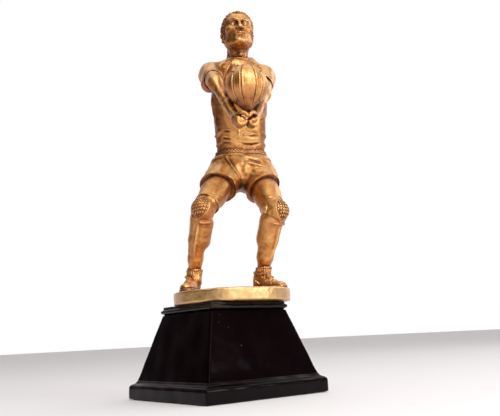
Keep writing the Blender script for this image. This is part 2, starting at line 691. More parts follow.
def leg(side):
    joint = JOINTS[side]
    hip, knee, ankle = joint["hip"], joint["knee"], joint["ankle"]
    thigh, shin, ahead = leg_axes(side)
    front_t, front_s = square_to(thigh, ahead + spot(0, 0, 0.5)), square_to(shin, ahead)
    side_t, side_s = np.cross(thigh, front_t), np.cross(shin, front_s)
    clay = Clay()
    low = np.linalg.norm(ankle - knee)
    clay.add(bone(mix(hip, knee, 0.2), mix(hip, knee, 0.62), 11.6, 9.9))
    clay.add(bone(mix(hip, knee, 0.62), knee, 9.9, 7.4), 3)
    clay.add(egg(mix(hip, knee, 0.5) + front_t * 3.4, (6.6, 6.6, 6.6)), 6)
    for way in BOTH:
        clay.add(bone(mix(hip, knee, 0.45) + front_t * 2.2 + side_t * 4.4 * way,
                      mix(hip, knee, 0.84) + front_t * 2.8 + side_t * 3.4 * way, 5.4, 3.6), 4)
    clay.add(bone(mix(hip, knee, 0.3) - front_t * 4, mix(hip, knee, 0.9) - front_t * 2.2,
                  6.6, 4.4), 4)
    clay.add(egg(knee + front_t * 3, (5.6, 5.6, 5.6)), 3)
    below = knee + shin * low * 0.12
    sway = spot(-1.0, 0, 0)
    calf = {"right": (7.4, 6.8, 5.7), "left": (8.5, 7.7, 6.2)}[side]
    clay.add(bone(knee, below + sway, 7.3, calf[0]), 2)
    clay.add(bone(below + sway, mix(knee, ankle, 0.5) + sway, *calf[:2]), 2)
    low_calf = mix(knee, ankle, 0.82) + sway * 0.6
    clay.add(bone(mix(knee, ankle, 0.5) + sway, low_calf, *calf[1:]), 2)
    clay.add(bone(low_calf, ankle, calf[2], 4.8), 2)
    for way, share in ((-1, 0.33), (1, 0.29)):
        head = mix(knee, ankle, share) - front_s * 3.0 + side_s * 3.3 * way
        clay.add(bone(head - shin * 5, head + shin * 9, 5.3, 4.6), 4)
    clay.add(bone(mix(knee, ankle, 0.5) - front_s * 2.8, ankle - front_s * 2.8, 3.6, 2.0), 3)
    clay.add(bone(below + front_s * 4.8, mix(knee, ankle, 0.8) + front_s * 3.6, 1.7, 1.1), 2.4)
    clay.add(bone(below + front_s * 3 + side_s * 3.2, mix(knee, ankle, 0.7) + front_s * 1.8
                  + side_s * 1.6, 2.8, 2.0), 2.5)
    for way in BOTH:
        clay.add(egg(ankle + side_s * 4.3 * way + shin * 1.5, (1.7, 1.7, 2.1)), 2)
    clay.keep(spot(0, 0, 15.5), spot(0, 0, -1))
    # the shin's edge: a ridge, with a hollow along its outer side
    shares = (0.10, 0.25, 0.45, 0.65, 0.85)
    edge = [mix(knee, ankle, share) + front_s * (8.6 - 3.6 * share) for share in shares]
    out = joint["out"]
    clay.relief(fold(edge if out < 0 else edge[::-1], 1.0, 0.9, front_s, 7, 0.6))
    lumps = waves(21 if side == "right" else 22, 9, 0.12, 8, (1, 1, 2))
    clay.relief(lumps, casting_flaws(24))
    return clay


GRID_PITCH = (2.0, 2.25)  # mm between the blocks moulded on a knee pad, across and up
GRID_HALF = (7.0, 8.2)


def knee_pad(side):
    joint = JOINTS[side]
    hip, knee, ankle = joint["hip"], joint["knee"], joint["ankle"]
    thigh, shin, ahead = leg_axes(side)
    up = unit(mix(hip - knee, knee - ankle, 0.5))
    front = square_to(up, ahead + spot(0, 0, 0.15))
    across = np.cross(up, front)
    top, bottom = knee - thigh * 9.6, knee + shin * 8.4
    slim = 1.1 if side == "right" else 0
    clay = Clay()
    clay.add(bone(top, knee, 9.2 - slim / 2, 8.9 - slim))
    clay.add(bone(knee, bottom, 8.9 - slim, 8.2 - slim / 2), 2)
    clay.add(egg(knee + front * 3.4, (7.8, 7.8, 7.8)), 3)
    clay.keep(top, -thigh).keep(bottom, shin)
    clay.add(ring(top + thigh * 0.9, thigh, 9.1, 0.7), 0.8)
    clay.add(ring(bottom - shin * 0.9, shin, 8.2 - slim / 2, 0.9), 0.8)
    level = square_to(front, spot(0, 0, 1))

    def blocks(p):
        q = p - knee - front * 3.2
        u, v, w = q @ across, q @ up, q @ front
        # the grid wraps round the knee, so its rows keep their width there
        u = np.arctan2(u, np.maximum(w, 0.1) + 5) * 12.5
        k = np.sqrt((u / GRID_HALF[0]) ** 2 + (v / GRID_HALF[1]) ** 2)
        oval = rise(1.03 - k, 0, 0.08) * (w > 0)
        cu = np.abs((u / GRID_PITCH[0] + 0.5) % 1 - 0.5)
        cv = np.abs((q @ level / GRID_PITCH[1]) % 1 - 0.5)
        block = rise(0.43 - cu, 0, 0.17) * rise(0.43 - cv, 0, 0.17)
        rim = np.exp(-((k - 1.14) / 0.07) ** 2) * (w > -1)
        return oval * (0.9 * block - 0.35) + 0.3 * rim

    clay.relief(blocks)
    for edge in (across, -across):
        clay.relief(fold([knee - front * 2 + edge * 9 + up * 5, knee + edge * 8 + up * 1,
                          knee - front * 4 + edge * 8 - up * 4], 0.8, 1.0, edge))
    clay.relief(folds([
        (1.0, 1.2, knee - front * 8 - across * 5, knee - front * 9, knee - front * 8 + across * 5),
        (0.8, 1.0, knee - front * 8 - across * 5 + up * 4, knee - front * 9 + up * 3.5,
         knee - front * 8 + across * 5 + up * 4),
    ], -front))
    clay.relief(waves(31 if side == "right" else 32, 7, 0.16), casting_flaws(33))
    return clay


def arm(side):
    joint = JOINTS[side]
    shoulder, elbow, wrist = joint["shoulder"], joint["elbow"], joint["wrist"]
    upper, fore = unit(elbow - shoulder), unit(wrist - elbow)
    top = square_to(upper, spot(0, 0, 1))
    turn = square_to(fore, spot(0, 0, 1))
    wide = np.cross(fore, turn)
    clay = Clay()
    start = shoulder + upper * 9
    clay.add(bone(start, mix(shoulder, elbow, 0.75), 6.2, 5.5))
    clay.add(bone(mix(shoulder, elbow, 0.75), elbow, 5.5, 5.0), 2)
    clay.add(egg(mix(shoulder, elbow, 0.58) + top * 1.0, (5, 5, 5)), 4)
    clay.add(egg(mix(shoulder, elbow, 0.64) - top * 1.4, (5, 5, 5)), 4)
    if side == "right":
        # this elbow is bent hard and juts forward
        clay.add(egg(elbow + spot(-0.3, -1.0, 0.2), (5.7, 5.4, 6.6)), 2)
    else:
        clay.add(egg(elbow - turn * 1.8 + upper * 0.9, (3.2, 3.2, 3.2)), 2)
    for way in BOTH:
        clay.add(bone(elbow + wide * 1.0 * way, mix(elbow, wrist, 0.45) + wide * 0.9 * way,
                      3.7, 3.4), 3)
    if side == "right":
        # the ball rests on a low boss of this forearm
        rest = mix(elbow, wrist, 0.67)
        clay.add(bone(rest, rest + unit(BALL - rest) * 5.3, 3.2, 2.5), 1.5)
    clay.add(bone(mix(elbow, wrist, 0.4), wrist + fore * 1.5, 3.7, 3.1), 2)
    for way in BOTH:
        clay.add(bone(mix(elbow, wrist, 0.7) + wide * 1.5 * way, wrist + wide * 1.6 * way
                      + fore, 2.2, 2.0), 2)
    for way in (-0.8, 0.8):
        clay.add(bone(mix(elbow, wrist, 0.6) + turn * 2.7 + wide * way, wrist + turn * 2.5
                      + wide * way, 0.5, 0.5), 1.2)
    clay.relief(waves(41 if side == "right" else 42, 8, 0.14), casting_flaws(43))
    return clay


# ---- hands, ball, shoes
def hands():
    """Two loose fists side by side under the ball, the curled fingers open towards the front."""
    clay = Clay()
    for joint in JOINTS.values():
        out = joint["out"]
        wrist = joint["wrist"]
        fore = unit(wrist - joint["elbow"])
        fist = HANDS + spot(out * 3.9, -1.2, 0.2)
        back = fist + spot(out * 2.6, 2.6, 2.4)
        clay.add(bone(wrist - fore * 1.0, back, 3.9, 3.7, (unit(spot(1, 0.3, 0)), 0.9)), 2)
        clay.add(egg(back, (3.3, 4.6, 4.4)), 2)
        clay.add(egg(fist + spot(0, 0.2, -0.2), (3.7, 5.6, 3.7)), 1)
        for finger in range(4):
            y = 3.8 - 2.55 * finger
            reach = (3.0, 3.4, 3.5, 3.3)[finger]
            centre = fist + spot(0, y, -0.2 * finger)
            # a finger curls down from the knuckle, under, and up into the palm
            turns = np.radians(np.linspace(150, 345, 12))
            tight = reach * np.linspace(1.05, 0.8, 12)
            curl = centre + np.stack([-out * tight * np.cos(turns), np.linspace(0.3, -0.3, 12),
                                      tight * np.sin(turns)], 1)
            clay.add(rope(curl, np.linspace(1.55, 1.3, 12)), 0.9)
            clay.add(egg(centre + spot(out * 2.4, 0.1, 1.4), (1.8, 1.4, 1.8)), 0.7)
        thumb = [back + spot(out * 0.4, -1.5, 2.0), fist + spot(out * 1.0, -4.4, 4.6),
                 fist + spot(-out * 1.2, -6.2, 4.2), fist + spot(-out * 3.0, -6.9, 2.0)]
        clay.add(rope(smooth_path(thumb, 10), np.linspace(1.9, 1.25, 10)), 0.5)
    clay.relief(waves(51, 4, 0.12), casting_flaws(52))
    return clay


FRONT_SHIFT, FRONT_SQUASH = 0.19, 0.335  # how the ball's front panels are drawn out
EIGHTH = BALL_RADIUS * math.pi / 4  # mm, of the way round the ball: half of one side
PANEL_SHARE = 0.46  # half of the middle panel, as a share of half of the side
SEAM_DEPTH, SEAM_WIDTH, SEAM_LIP = 0.5, 0.42, 0.28


def ball():
    """Each of six sides has three panels, long ones in front, that run down to a short stem."""
    clay = Clay()
    clay.add(egg(BALL, (BALL_RADIUS - 0.15,) * 3))
    stem = BALL + spot(-0.6, -0.8, -13.2)
    clay.add(bone(BALL + spot(-0.1, -0.2, -8.6), stem, 8.0, 5.4), 4)
    clay.add(bone(stem, BALL + spot(-0.9, -1.2, -18.0), 5.4, 2.6), 3)
    view = unit(spot(-0.17, -0.97, -0.12))
    right = square_to(view, spot(1, 0, 0.04))
    turn = np.array([right, np.cross(view, right), view])

    def seams(p):
        q = (p - BALL) @ turn.T
        q = q / np.linalg.norm(q, axis=1)[:, None]
        # the sides in front and behind are stretched upright
        q[:, 1] = (q[:, 1] + FRONT_SHIFT * np.sign(q[:, 2])) * FRONT_SQUASH
        size = np.abs(q)
        face = size.argmax(1)
        out = np.zeros(len(p))
        for axis in range(3):
            mine = face == axis
            strip_axis = (axis + 1) % 3
            edge_axis = (axis + 2) % 3
            if axis == 1:
                strip_axis, edge_axis = edge_axis, strip_axis
            big = np.maximum(size[:, axis], 1e-6)
            (s, s_mm), (e, e_mm) = [(np.abs(np.arctan(q[:, i] / big) / (math.pi / 4)),
                                     EIGHTH / (FRONT_SQUASH if i == 1 else 1))
                                    for i in (strip_axis, edge_axis)]
            across = np.minimum(np.abs(s - PANEL_SHARE), 1 - s) * s_mm
            d = np.minimum(across, (1 - e) * e_mm)
            groove = (SEAM_LIP * np.exp(-((d - 1.0) / 0.45) ** 2)
                      - SEAM_DEPTH * np.exp(-(d / SEAM_WIDTH) ** 2))
            out[mine] = groove[mine]
        return out * rise(p[:, 2], BALL[2] - 17, BALL[2] - 12)

    clay.relief(seams, waves(61, 12, 0.12), casting_flaws(62))
    return clay


# the sole's outline: share of the length, half width, and how far it leans inwards
SOLE_ROWS = [(0, 1.5, 0), (0.05, 3.4, 0), (0.15, 4.6, 0), (0.35, 4.4, 0.2), (0.5, 4.6, 0.4),
             (0.68, 5.7, 0.5), (0.82, 5.6, 0.6), (0.93, 4.2, 0.8), (1.0, 1.6, 1.0)]
LACE_ROWS = [(12.0, 11.4), (14.4, 9.7), (16.8, 8.2), (19.2, 6.9)]  # ahead of the heel, and up


def shoe(side):
    joint = JOINTS[side]
    heel, toe, ankle = joint["heel"], joint["toe"], joint["ankle"]
    length = np.linalg.norm(toe - heel)
    ahead = unit(toe - heel)
    left = np.cross(spot(0, 0, 1), ahead)
    clay = Clay()
    clay.origin = heel
    clay.axes = np.array([ahead, left, spot(0, 0, 1)])
    ankle_in = (ankle - heel) @ clay.axes.T
    instep = -0.9 * joint["out"]
    share, half, lean = np.array(SOLE_ROWS).T
    along, lean = share * length, lean * -joint["out"]

    def slab(low, high, grow, edge):
        def measure(p):
            w = np.interp(p[:, 0], along, half) + grow - edge
            y = p[:, 1] - np.interp(p[:, 0], along, lean)
            ends = np.maximum(-p[:, 0] - grow + edge, p[:, 0] - length - grow + edge)
            b = np.abs(p[:, 2] - (low + high) / 2) - ((high - low) / 2 - edge)
            return rounded(np.maximum(np.abs(y) - w, ends), b, edge)
        return measure, spot(-1, -7.5, low - 0.2), spot(length + 1, 7.5, high + 0.2)

    clay.add(slab(0.05, 2.2, 0.25, 0.5))
    clay.add(bone(spot(5.4, 0, 3.6), spot(6, 0, 9), 4.5, 4.4), 1.0)
    clay.add(bone(spot(4.8, 0, 4.4), spot(15, 0, 4.2), 4.5, 4.7), 1.5)
    clay.add(bone(spot(8.6, 0, 9.0), spot(20.5, lean[5] * 0.6, 3.6 + instep), 4.5, 3.9), 2.5)
    clay.add(bone(spot(17, lean[5] * 0.6, 2.4 + instep), spot(26.5, lean[5], 1.6 + instep),
                  4.9, 4.2), 2.0)
    clay.add(egg(spot(27.4, lean[6], 2.4 + instep * 0.7), (5.0, 5.0, 3.4)), 1.5)
    clay.add(bone(spot(6.2, 0, 8), ankle_in, 5.4, 5.5), 2)
    clay.add(bone(ankle_in - spot(0, 0, 7), ankle_in, 5.4, 5.5), 1.5)
    clay.cut(slab(-9, 0.05, 3, 0.02), 0.1)
    # tongue, collar of the boot, and the sock's ribbed cuff
    clay.add(bone(spot(13.6, 0, 9.6), spot(10.8, 0, 14.4), 2.3, 2.2,
                  (unit(spot(1, 0, 0.4)), 0.6)), 0.6)
    clay.add(ring(mix(spot(7, 0, 11.2), ankle_in, 0.2), spot(0.35, 0, 1), 5.7, 0.85, 0.94,
                  spot(1, 0, 0)), 0.7)
    clay.add(ring(ankle_in - spot(0, 0, 0.9), spot(0, 0, 1), 5.5, 0.8), 0.5)
    clay.keep(ankle_in - spot(0, 0, 0.2), spot(0, 0, 1))
    # laces cross over the tongue, and are tied in a bow
    for x, z in LACE_ROWS:
        z = z + instep * 0.8 * rise(x, 11, 19)
        for way in BOTH:
            clay.add(cord([(x, 3.8, z - 2.0), (x + 0.9, 0, z + 1.3), (x + 2.0, -3.8, z - 2.9)],
                          7, 0.62, (1, way, 1)), 0.25)
            clay.add(egg(spot(x, 3.8 * way, z - 2.0), (0.9, 0.8, 0.9)), 0.3)
    for way in BOTH:
        clay.add(cord([(12, 0, 13.0), (12.6, 2.8, 14.0), (13.6, 4.6, 12.2), (13.2, 2.6, 12.0),
                       (12.4, 0, 12.8)], 14, 0.5, (1, way, 1)), 0.2)
        clay.add(cord([(12.4, 0, 12.8), (15, 1.6, 11.6), (17.4, 3.2, 9.2)], 6, 0.45,
                      (1, way, 1)), 0.2)
    clay.add(egg(spot(12.2, 0, 13), (1.0, 1.1, 1.0)), 0.3)
    # seams: over the toe, then on either side of the toe, the heel, and two stripes
    seams = [fold([(22.6, -4.6, 3.2), (22.2, -2.4, 6.2), (22, lean[5], 7.4), (22.2, 2.8, 6.2),
                   (22.6, 5.0, 3.2)], 0.8, 0.6, (0.3, 0, 1), 6, 0.6)]
    for way in BOTH:
        for rows, facing, *style in (
                ([(20.5, 4.6, 6.4), (21.5, 4.9, 4.4), (22.5, 5.4, 2.4)], 0.2, 0.5, 0.45, 0.4),
                ([(12, 4.8, 2.6), (14.4, 4.6, 7.2)], 0.2, 0.45, 0.4, 0.2),
                ([(14.4, 4.8, 2.6), (16.8, 4.6, 7.2)], 0.2, 0.45, 0.4, 0.2)):
            height, width, hollow = style
            seams.append(fold(np.array(rows) * (1, way, 1), height, width, (0, way, facing), 5,
                              hollow))
        seams.append(fold(np.array([(3.2, 4, 10.4), (8, 5, 6.2), (10.6, 5, 2.4)]) * (1, way, 1),
                          0.5, 0.45, (-0.2, way, 0), 5, 0.4))

    def details(p):
        lift = sum(seam(p) for seam in seams)
        # the sole stands proud all round, over a groove
        lift -= 0.35 * np.exp(-((p[:, 2] - 2.5) / 0.4) ** 2)
        tread = np.sin(p[:, 0] * 2.6)
        lift += 0.12 * tread * rise(1.9 - p[:, 2], 0, 0.5)
        angle = np.arctan2(p[:, 1] - ankle_in[1], p[:, 0] - ankle_in[0])
        sock = rise(p[:, 2], 13.6, 14.4) * rise(17.2 - p[:, 2], 0, 0.5)
        return lift + 0.22 * sock * np.sin(angle * 22)

    clay.relief(details, waves(71 if side == "right" else 72, 6, 0.14))
    clay.relief(casting_flaws(73))
    return clay


# ---- head
HEAD_TURN = math.radians(-6)
HEAD_LIFT = math.radians(-11)
HEAD_SCALE = 1.15  # the head is worked out at 31 mm from chin to crown, then enlarged


def head_axes():
    c, s = math.cos(HEAD_LIFT), math.sin(HEAD_LIFT)
    return (turn_about_up(HEAD_TURN) @ np.array([[1, 0, 0], [0, c, -s], [0, s, c]])).T


# the hair's front edge: how far forward (y) it comes at each height (z) of the head
HAIR_EDGE = [(-14, 10), (-11, 7.5), (-8.8, 4.6), (-7.4, 1.4), (-6, -0.8), (-3.5, -2.4),
             (0, -3.4), (3.5, -4.6), (6, -6.0), (8.4, -7.6), (9.6, -9.5), (10.4, -14)]
HAIR_THICK = 0.45
CURLS = 430
CURL_COVER = 1.62  # how far down from the crown the curls reach, where the whole ball is 2
CURL_SIZE, CURL_PITCH = 1.25, 0.95  # mm, about, of a curl's dome and of a turn of its spiral
CURL_SPAN = 14.5  # mm from the skull's middle to the curls


def hair_share(p):
    edge = np.interp(p[:, 2], *zip(*HAIR_EDGE))
    ear = np.sqrt(((p[:, 1] - 1.4) / 2.1) ** 2 + ((p[:, 2] + 2.6) / 2.9) ** 2)
    bare = rise(ear, 0.85, 1.1)
    return rise(p[:, 1] - edge, -0.5, 0.5) * bare * (p[:, 2] > -14)


def curls():
    """Short tight curls: each a little dome with a spiral on it."""
    rng = np.random.default_rng(5)
    i = np.arange(CURLS) + 0.5
    z = 1 - CURL_COVER * i / CURLS
    angle = i * math.pi * (3 - math.sqrt(5))
    flat = np.sqrt(np.maximum(1 - z * z, 0))
    ways = np.stack([flat * np.cos(angle), flat * np.sin(angle), z], 1)
    ways += rng.normal(size=ways.shape) * 0.035
    ways /= np.linalg.norm(ways, axis=1)[:, None]
    spin = rng.uniform(0, 2 * math.pi, CURLS)
    size = rng.uniform(0.85, 1.15, CURLS)
    high = rng.uniform(0.75, 1.2, CURLS)
    middle = spot(0, 1.5, 1.5)

    def lift(p):
        share = hair_share(p)
        out = np.zeros(len(p))
        near = np.flatnonzero(share > 0.02)
        for part in np.array_split(near, max(1, len(near) // 20000)):
            q = p[part] - middle
            q = q / np.linalg.norm(q, axis=1)[:, None]
            close = (q @ ways.T).argmax(1)
            way = ways[close]
            w = (q - way) * CURL_SPAN
            a = np.cross(way, spot(0.2, 0.1, 1))
            a /= np.linalg.norm(a, axis=1)[:, None]
            b = np.cross(way, a)
            u, v = (w * a).sum(1), (w * b).sum(1)
            rho = np.sqrt(u * u + v * v) / size[close]
            phi = np.arctan2(v, u) + spin[close]
            dome = 1 - (rho / CURL_SIZE) ** 2
            spiral = np.cos(2 * math.pi * rho / CURL_PITCH - phi)
            out[part] = high[close] * (0.55 * np.maximum(dome, -1.0) + 0.3 * spiral)
        return share * (HAIR_THICK + out)

    return lift


def head():
    clay = Clay()
    clay.origin, clay.axes, clay.scale = HEAD, head_axes(), HEAD_SCALE
    neck_low = clay.local(spot(14.3, -0.6, 183.5)[None])[0]
    clay.add(egg(spot(0, 1.8, 3.4), (10.6, 12.0, 10.4)))
    clay.add(egg(spot(0, -2.2, -3), (9.0, 9.4, 11.2)), 3)
    clay.add(egg(spot(0, -3.6, 5.6), (8.4, 7.4, 6.2)), 3)
    clay.add(egg(spot(0, -3.9, -9.0), (7.2, 7.0, 6.0)), 3)
    for way in BOTH:
        clay.add(bone(spot(8.1 * way, 1.2, -5.6), spot(7.0 * way, -2.2, -10.2), 1.9, 1.8), 3)
        clay.add(bone(spot(7.0 * way, -2.2, -10.2), spot(2.2 * way, -9.0, -13.4), 1.8, 2.0), 3)
        clay.add(egg(spot(6.2 * way, -7.3, -2.9), (2.9, 2.4, 2.2)), 3)
    clay.add(egg(spot(0, -9.2, -12.8), (3.0, 2.4, 2.3)), 2.5)
    # neck
    skull_base = spot(0, 2.6, -7)
    clay.add(bone(neck_low, skull_base, 6.0, 5.9), 2.5)
    pit = clay.local(spot(14.6, -7.6, 185)[None])[0]
    for way in BOTH:
        clay.add(bone(spot(7.2 * way, 3.8, -7.5), pit + spot(1.8 * way, 0.2, 0), 1.8, 1.2), 2.2)
        clay.add(bone(spot(4.4 * way, 8, -8), neck_low + spot(5.4 * way, 4.5, 0), 2.4, 3.0), 3)
    clay.add(egg(mix(pit, spot(0, -6, -15), 0.5) + spot(0, 1.5, 0), (1.5, 1.5, 1.9)), 2.2)
    # brow, eye sockets, eyes and lids
    for way in BOTH:
        clay.add(bone(spot(5.6 * way, -9.2, 3.1), spot(1.6 * way, -10.6, 3.2), 1.2, 1.1), 1.8)
    for way in BOTH:
        flip = (way, 1, 1)
        clay.cut(egg(spot(4.1 * way, -11.7, 0.3), (2.9, 2.3, 1.7)), 1.6)
        clay.add(egg(spot(4.05 * way, -8.5, 0.15), (2.15, 2.2, 2.05)), 0.3)
        upper = [(2.0, -10.3, -0.2), (3.0, -10.85, 0.85), (4.3, -10.75, 1.1), (5.6, -9.9, 0.75),
                 (6.5, -9.0, -0.1)]
        lower = [(2.0, -10.3, -0.3), (3.2, -10.5, -1.0), (4.6, -10.3, -1.15), (6.4, -9.1, -0.3)]
        eyebrow = [(2.0, -11.7, 3.3), (3.9, -11.5, 4.0), (6.4, -9.9, 3.3)]
        clay.add(cord(upper, 9, 0.42, flip), 0.25)
        clay.add(cord(lower, 8, 0.34, flip), 0.25)
        clay.cut(cord(upper, 9, 0.2, flip, (0, 0.05, 0.95)), 0.3)
        clay.add(cord(eyebrow, 8, [0.3] + [0.45] * 5 + [0.35, 0.25], flip), 0.4)
    # nose
    clay.add(bone(spot(0, -11.0, 2.2), spot(0, -13.3, -3.4), 1.0, 1.25), 1.6)
    clay.add(egg(spot(0, -13.3, -4.0), (1.5, 1.6, 1.4)), 0.8)
    for way in BOTH:
        clay.add(egg(spot(1.75 * way, -12.0, -4.5), (1.05, 1.4, 1.05)), 0.7)
        clay.cut(egg(spot(0.85 * way, -12.9, -5.5), (0.45, 0.75, 0.5)), 0.25)
        clay.cut(rope([spot(2.4 * way, -11.4, -5.0), spot(3.7 * way, -10.6, -7.6)], 0.22), 0.9)
    # lips, the line between them, the groove under them, and the one over them
    clay.add(egg(spot(0, -10.0, -8.6), (3.4, 1.9, 2.6)), 2)
    clay.add(cord([(-3.2, -10.6, -8.7), (-1.4, -11.8, -8.05), (0, -12.0, -8.2),
                   (1.4, -11.8, -8.05), (3.2, -10.6, -8.7)], 10, 0.62), 0.4)
    clay.add(cord([(-2.7, -10.8, -9.3), (0, -11.75, -9.75), (2.7, -10.8, -9.3)], 8, 0.75), 0.5)
    clay.cut(cord([(-3.3, -11.0, -8.85), (0, -12.5, -8.95), (3.3, -11.0, -8.85)], 8, 0.2), 0.25)
    clay.cut(cord([(-2, -11.4, -11.1), (0, -12, -11.2), (2, -11.4, -11.1)], 5, 0.4), 1.2)
    clay.cut(egg(spot(0, -12.6, -6.7), (0.35, 0.7, 0.9)), 0.5)
    # ears
    for way in BOTH:
        ear = spot(9.3 * way, 1.6, -2.2)
        rim = [(0.7, -1.0, 1.4), (1.0, 0.2, 2.6), (1.3, 1.7, 1.8), (1.2, 1.6, -0.5),
               (0.9, 0.4, -2.4), (0.5, -0.8, -2.8)]
        clay.add(egg(ear, (1.3, 1.9, 2.9)), 0.8)
        clay.add(cord(rim, 14, 0.5, (way, 1, 1), ear), 0.5)
        clay.cut(egg(ear + spot(1.6 * way, -0.1, 0), (0.8, 0.9, 1.5)), 0.5)
        clay.add(egg(ear + spot(0.5 * way, -1.4, -0.5), (0.6, 0.6, 0.8)), 0.4)
    clay.keep(clay.local(spot(14.3, -1, 184.6)[None])[0], -clay.axes[:, 2])
    clay.relief(curls(), waves(81, 5, 0.10), casting_flaws(82))
    return clay


# ---- disc and plinth
def puck(radius, thick, edge):
    """A round plate with its top at the figure's feet."""
    def measure(p):
        a = np.hypot(p[:, 0], p[:, 1]) - radius + edge
        b = np.abs(p[:, 2] + thick / 2) - (thick / 2 - edge)
        return rounded(a, b, edge)

    return measure, spot(-radius, -radius, -thick), spot(radius, radius, 0)


def moulding(profile, corner):
    """A square upright body. profile is rows of (z, half width), and corner rounds its upright
    edges."""
    z, half = np.array(profile, float).T
    slope = np.abs(np.gradient(half, z))

    def measure(p):
        h = np.interp(p[:, 2], z, half) - corner
        side = rounded(np.abs(p[:, 0]) - h, np.abs(p[:, 1]) - h, corner)
        side = side / np.sqrt(1 + np.interp(p[:, 2], z, np.minimum(slope, 1.5)) ** 2)
        return np.maximum(side, np.maximum(z[0] - p[:, 2], p[:, 2] - z[-1]))

    r = half.max()
    return measure, spot(-r, -r, z[0]), spot(r, r, z[-1])


def disc():
    clay = Clay()
    radius = (DISC_HIGH.x - DISC_LOW.x) / 2 / MM
    thick = (DISC_HIGH.z - DISC_LOW.z) / MM
    clay.add(puck(radius, thick, 1.3))
    clay.relief(waves(91, 26, 0.12), waves(92, 9, 0.07), casting_flaws(93))
    return clay


def upright(points):
    return points * MM


FOOT_PROFILE = [(0.5, 52.2), (1.1, 52.5), (8.6, 52.5), (9.5, 52.3), (10.3, 51.8), (10.9, 51.0),
                (11.3, 50.0), (11.7, 49.2), (12.4, 48.5), (13.6, 48.1)]
FOOT_RECESS = [(-1, 46.3), (4.7, 46.3)]
FOOT_OPENING = [(4.6, 38), (15, 38)]
BODY_PROFILE = [(12.9, 48.0), (14.2, 47.6), (16.5, 46.7), (20, 45.5), (26, 43.8), (40, 39.5),
                (60.2, 33.2)]
BODY_HOLLOW = [(11, 43.5), (13.7, 43), (53.6, 30.3)]
CAP_PROFILE = [(59.8, 32.0), (60.5, 32.3), (61.1, 33.0), (61.6, 33.9), (62.0, 34.3), (63.3, 34.3),
               (63.7, 34.0), (64.1, 33.1), (64.5, 32.8), (66.2, 32.7)]


def plinth():
    foot = Clay().add(moulding(FOOT_PROFILE, 1.0))
    foot.cut(moulding(FOOT_RECESS, 1.0)).cut(moulding(FOOT_OPENING, 1.0))
    body = Clay().add(moulding(BODY_PROFILE, 1.2)).cut(moulding(BODY_HOLLOW, 2.0))
    cap = Clay().add(moulding(CAP_PROFILE, 1.0))
    for clay in (foot, body, cap):
        clay.relief(waves(101, 24, 0.12), waves(102, 7, 0.015))
    return {"plinth_foot": (foot, 0.9), "plinth_body": (body, 1.1), "plinth_cap": (cap, 0.8)}


# ---- materials
class Nodes:
    """Short names for building the nodes of one material, or of the world."""

    def __init__(self, owner):
        self.owner = owner
        owner.use_nodes = True
        self.tree = owner.node_tree
        shaders = self.tree.nodes
        self.shader = shaders.get("Principled BSDF") or shaders["Background"]

    def node(self, kind, inputs=None, **settings):
        node = self.tree.nodes.new(kind)
        for key, value in settings.items():
            setattr(node, key, value)
        for key, value in (inputs or {}).items():
            self.feed(node.inputs[key], value)
        return node

    def feed(self, socket, value):
        if isinstance(value, bpy.types.NodeSocket):
            self.tree.links.new(value, socket)
        elif isinstance(value, bpy.types.Node):
            self.tree.links.new(value.outputs[0], socket)
        else:
            socket.default_value = value

    def set(self, **values):
        for key, value in values.items():
            self.feed(self.shader.inputs[key.replace("_", " ")], value)

    def place(self):
        return self.node("ShaderNodeTexCoord").outputs["Object"]

    def noise(self, scale, detail=3, rough=0.55, vector=None):
        made = self.node("ShaderNodeTexNoise", {"Scale": scale, "Detail": detail,
                                                "Roughness": rough, "Vector": vector
                                                or self.place()})
        return made.outputs["Fac"]

    def cells(self, scale):
        made = self.node("ShaderNodeTexVoronoi", {"Scale": scale, "Vector": self.place()})
        return made.outputs["Distance"]

    def ramp(self, value, *stops):
        """stops are (position, colour)."""
        made = self.node("ShaderNodeValToRGB", {"Fac": value})
        elements = made.color_ramp.elements
        while len(elements) < len(stops):
            elements.new(0.5)
        for element, (position, colour) in zip(elements, stops):
            element.position = position
            element.color = (*colour, 1)
        return made.outputs["Color"]

    def blend(self, share, a, b):
        made = self.node("ShaderNodeMix", data_type="RGBA")
        self.feed(made.inputs[0], share)
        for socket, value in ((made.inputs[6], a), (made.inputs[7], b)):
            self.feed(socket, (*value, 1) if isinstance(value, tuple) else value)
        return made.outputs[2]

    def math(self, kind, a, b=0.0):
        return self.node("ShaderNodeMath", {0: a, 1: b}, operation=kind).outputs[0]

    def span(self, value, low, high, to_low=0.0, to_high=1.0):
        return self.node("ShaderNodeMapRange", {"Value": value, "From Min": low, "From Max": high,
                                                "To Min": to_low, "To Max": to_high}).outputs[0]

    def bump(self, *heights):
        """heights are (height in mm, field from 0 to 1)."""
        total = None
        for height, field in heights:
            raised = self.math("MULTIPLY", field, height * MM)
            total = raised if total is None else self.math("ADD", total, raised)
        made = self.node("ShaderNodeBump", {"Strength": 1.0, "Distance": 1.0, "Height": total})
        self.feed(self.shader.inputs["Normal"], made.outputs["Normal"])


